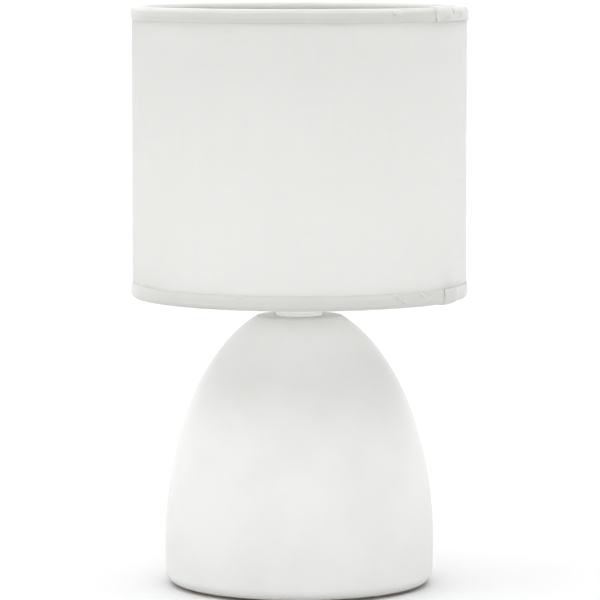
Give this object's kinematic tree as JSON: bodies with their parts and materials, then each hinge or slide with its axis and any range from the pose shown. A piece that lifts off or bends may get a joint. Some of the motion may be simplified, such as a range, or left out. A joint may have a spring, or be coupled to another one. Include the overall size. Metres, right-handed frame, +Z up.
{
  "type": "table lamp with shade",
  "caption": "Small table lamp with a bullet-shaped white ceramic base, a screw-in bulb and a round fabric drum shade on a wire spider.",
  "frame": {"origin": "centre of the underside, at the plane of the felt feet", "axes": "+Z up along the lamp's axis; -Y is the front and +Y the rear, where the cable inlet is"},
  "size_m": [0.1392, 0.1392, 0.24],
  "materials": {
    "ceramic_base": "matte white glaze",
    "felt": "pressed felt",
    "white_plastic": "satin",
    "black_rubber": "matte",
    "pale_rubber": "matte",
    "zinc_steel": "zinc plated",
    "brass": "stamped",
    "white_coated_metal": "white powder coat",
    "steatite": "unglazed",
    "shade_fabric": "white cotton-linen weave",
    "shade_liner": "white styrene",
    "shade_trim": "folded woven tape",
    "black_glass": "glossy",
    "solder": "dull",
    "nickelled_cap": "satin",
    "clear_glass": "clear",
    "filament_phosphor": "phosphor coated"
  },
  "bodies": {
    "base": {"base_shell": "ceramic_base", "foot_pads": "felt", "cable_grommet": "white_plastic", "rubber_washer": "black_rubber", "clamp_washer": "zinc_steel", "lock_washer": "zinc_steel", "nipple_nut": "brass", "threaded_nipple": "zinc_steel", "neck_gasket": "pale_rubber", "neck_collar": "white_coated_metal", "holder_cap": "white_plastic", "holder_grub_screw": "zinc_steel", "holder_core": "steatite", "centre_contact": "brass", "shell_strap": "brass", "terminal_screws": "zinc_steel", "screw_shell": "brass", "holder_skirt": "white_plastic"},
    "shade_seat": {"reducer_ring": "white_plastic"},
    "shade": {"shade_fabric": "shade_fabric", "shade_liner": "shade_liner", "shade_top_trim": "shade_trim", "shade_bottom_trim": "shade_trim", "shade_top_ring": "white_coated_metal", "shade_bottom_ring": "white_coated_metal", "spider_arms": "white_coated_metal", "fitter_ring": "white_coated_metal"},
    "shade_clamp": {"shade_ring": "white_plastic"},
    "bulb_tip": {"bulb_insulator": "black_glass", "bulb_contact": "solder"},
    "bulb": {"bulb_cap": "nickelled_cap", "bulb_glass": "clear_glass", "bulb_stem": "clear_glass", "bulb_filaments": "filament_phosphor", "bulb_leads": "nickelled_cap"}
  },
  "joints": [
    {"name": "shade_lift", "type": "slide", "parent": "base", "child": "shade_seat", "axis": [0, 0, 1], "range_m": [0, 0.12]},
    {"name": "shade_turn", "type": "hinge", "parent": "shade_seat", "child": "shade", "pos_m": [0, 0, 0.1445], "axis": [0, 0, 1], "continuous": true},
    {"name": "shade_ring_turn", "type": "hinge", "parent": "shade_seat", "child": "shade_clamp", "pos_m": [0, 0, 0.15], "axis": [0, 0, 1], "range_deg": [0, 1080]},
    {"name": "bulb_rise", "type": "slide", "parent": "base", "child": "bulb_tip", "axis": [0, 0, 1], "range_m": [0, 0.0198]},
    {"name": "bulb_turn", "type": "hinge", "parent": "bulb_tip", "child": "bulb", "pos_m": [0, 0, 0.16], "axis": [0, 0, 1], "range_deg": [0, 2520]}
  ],
  "couplings": [
    {"joint": "bulb_rise", "follows": "bulb_turn", "m_per_rad": 0.00044913}
  ]
}
